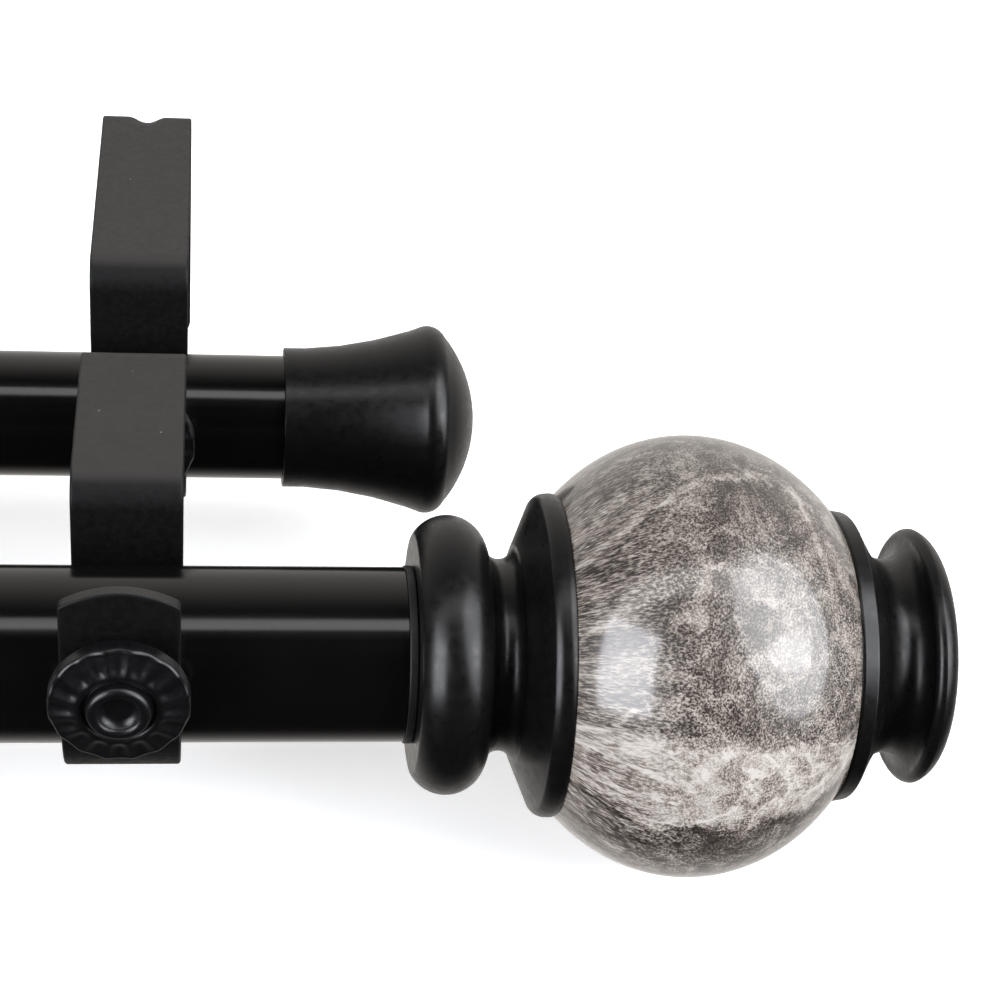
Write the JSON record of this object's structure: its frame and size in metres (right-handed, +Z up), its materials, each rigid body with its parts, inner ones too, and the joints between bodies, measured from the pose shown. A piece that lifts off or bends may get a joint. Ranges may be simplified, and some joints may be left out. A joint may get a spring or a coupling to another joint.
{
  "type": "curtain rod with brackets",
  "caption": "Double telescoping curtain rod on bent strap wall brackets, with clamping thumb screws, marbled ball finials and flared end caps.",
  "frame": {"origin": "centre of the four wall-screw holes, on the wall face of the brackets", "axes": "+X along the rods to the right-hand finial, +Y into the wall, +Z up"},
  "size_m": [0.868, 0.1679, 0.0648],
  "materials": {
    "satin_black_strap": "satin black powder coat on flat steel, with fine dust-like speckle",
    "gloss_black_tube": "smooth semi-gloss black lacquer on thin steel tube",
    "satin_black_cast": "satin black paint on turned and cast resin",
    "black_knob": "moulded black plastic, semi-gloss",
    "marbled_resin": "clear-coated resin with grey-brown and off-white marbling",
    "plated_steel": "zinc-plated threaded steel",
    "black_nylon": "moulded black nylon"
  },
  "bodies": {
    "brackets": {"right_bracket_strap": "satin_black_strap", "left_bracket_strap": "satin_black_strap"},
    "front_outer_rod": {"front_outer_tube": "gloss_black_tube", "right_tube_plug": "black_nylon"},
    "front_inner_rod": {"front_inner_tube": "gloss_black_tube", "front_slide_bush": "black_nylon", "left_tube_plug": "black_nylon"},
    "back_outer_rod": {"back_outer_tube": "gloss_black_tube"},
    "back_inner_rod": {"back_inner_tube": "gloss_black_tube", "back_slide_bush": "black_nylon", "left_cap_reducer": "black_nylon"},
    "right_front_screw": {"right_front_screw_stud": "plated_steel"},
    "right_front_knob": {"right_front_thumb_knob": "black_knob"},
    "right_back_screw": {"right_back_screw_stud": "plated_steel"},
    "right_back_knob": {"right_back_thumb_knob": "black_knob"},
    "right_finial_screw": {"right_finial_tie_rod": "plated_steel"},
    "right_finial": {"right_finial_base": "satin_black_cast", "right_finial_ball": "marbled_resin", "right_finial_tip": "satin_black_cast"},
    "right_cap": {"right_end_cap": "satin_black_cast"},
    "left_front_screw": {"left_front_screw_stud": "plated_steel"},
    "left_front_knob": {"left_front_thumb_knob": "black_knob"},
    "left_back_screw": {"left_back_screw_stud": "plated_steel"},
    "left_back_knob": {"left_back_thumb_knob": "black_knob"},
    "left_finial_screw": {"left_finial_tie_rod": "plated_steel"},
    "left_finial": {"left_finial_base": "satin_black_cast", "left_finial_ball": "marbled_resin", "left_finial_tip": "satin_black_cast"},
    "left_cap": {"left_end_cap": "satin_black_cast"}
  },
  "joints": [
    {"name": "front_rod_slide", "type": "slide", "parent": "brackets", "child": "front_outer_rod", "axis": [1, 0, 0], "range_m": [-0.03, 0.03]},
    {"name": "front_telescope", "type": "slide", "parent": "front_outer_rod", "child": "front_inner_rod", "axis": [-1, 0, 0], "range_m": [0, 0.508]},
    {"name": "back_rod_slide", "type": "slide", "parent": "brackets", "child": "back_outer_rod", "axis": [1, 0, 0], "range_m": [-0.0145, 0.0145]},
    {"name": "back_telescope", "type": "slide", "parent": "back_outer_rod", "child": "back_inner_rod", "axis": [-1, 0, 0], "range_m": [0, 0.508]},
    {"name": "right_front_screw_travel", "type": "slide", "parent": "brackets", "child": "right_front_screw", "axis": [0, -1, 0], "range_m": [0, 0.004]},
    {"name": "right_front_knob_turn", "type": "hinge", "parent": "right_front_screw", "child": "right_front_knob", "pos_m": [0.3145, -0.153, 0.0149], "axis": [0, -1, 0], "range_deg": [-5, 1805]},
    {"name": "right_back_screw_travel", "type": "slide", "parent": "brackets", "child": "right_back_screw", "axis": [0, -1, 0], "range_m": [0, 0.004]},
    {"name": "right_back_knob_turn", "type": "hinge", "parent": "right_back_screw", "child": "right_back_knob", "pos_m": [0.3145, -0.088, 0.012], "axis": [0, -1, 0], "range_deg": [-5, 1805]},
    {"name": "right_finial_travel", "type": "slide", "parent": "front_outer_rod", "child": "right_finial_screw", "axis": [1, 0, 0], "range_m": [-0.0001, 0.0121]},
    {"name": "right_finial_turn", "type": "hinge", "parent": "right_finial_screw", "child": "right_finial", "pos_m": [0.3556, -0.1355, 0.00708], "axis": [1, 0, 0], "range_deg": [0, 4320]},
    {"name": "right_cap_pull", "type": "slide", "parent": "back_outer_rod", "child": "right_cap", "axis": [1, 0, 0], "range_m": [0, 0.017]},
    {"name": "left_front_screw_travel", "type": "slide", "parent": "brackets", "child": "left_front_screw", "axis": [0, -1, 0], "range_m": [0, 0.004]},
    {"name": "left_front_knob_turn", "type": "hinge", "parent": "left_front_screw", "child": "left_front_knob", "pos_m": [-0.3145, -0.153, 0.0149], "axis": [0, -1, 0], "range_deg": [-5, 1805]},
    {"name": "left_back_screw_travel", "type": "slide", "parent": "brackets", "child": "left_back_screw", "axis": [0, -1, 0], "range_m": [0, 0.004]},
    {"name": "left_back_knob_turn", "type": "hinge", "parent": "left_back_screw", "child": "left_back_knob", "pos_m": [-0.3145, -0.088, 0.012], "axis": [0, -1, 0], "range_deg": [-5, 1805]},
    {"name": "left_finial_travel", "type": "slide", "parent": "front_inner_rod", "child": "left_finial_screw", "axis": [-1, 0, 0], "range_m": [-0.0001, 0.0121]},
    {"name": "left_finial_turn", "type": "hinge", "parent": "left_finial_screw", "child": "left_finial", "pos_m": [-0.3556, -0.1355, 0.00708], "axis": [-1, 0, 0], "range_deg": [0, 4320]},
    {"name": "left_cap_pull", "type": "slide", "parent": "back_inner_rod", "child": "left_cap", "axis": [-1, 0, 0], "range_m": [0, 0.017]}
  ],
  "couplings": [
    {"joint": "right_front_knob_turn", "follows": "right_front_screw_travel", "rad_per_m": 7854},
    {"joint": "right_back_knob_turn", "follows": "right_back_screw_travel", "rad_per_m": 7854},
    {"joint": "right_finial_travel", "follows": "right_finial_turn", "m_per_rad": 0.00015915},
    {"joint": "left_front_knob_turn", "follows": "left_front_screw_travel", "rad_per_m": 7854},
    {"joint": "left_back_knob_turn", "follows": "left_back_screw_travel", "rad_per_m": 7854},
    {"joint": "left_finial_travel", "follows": "left_finial_turn", "m_per_rad": 0.00015915}
  ]
}
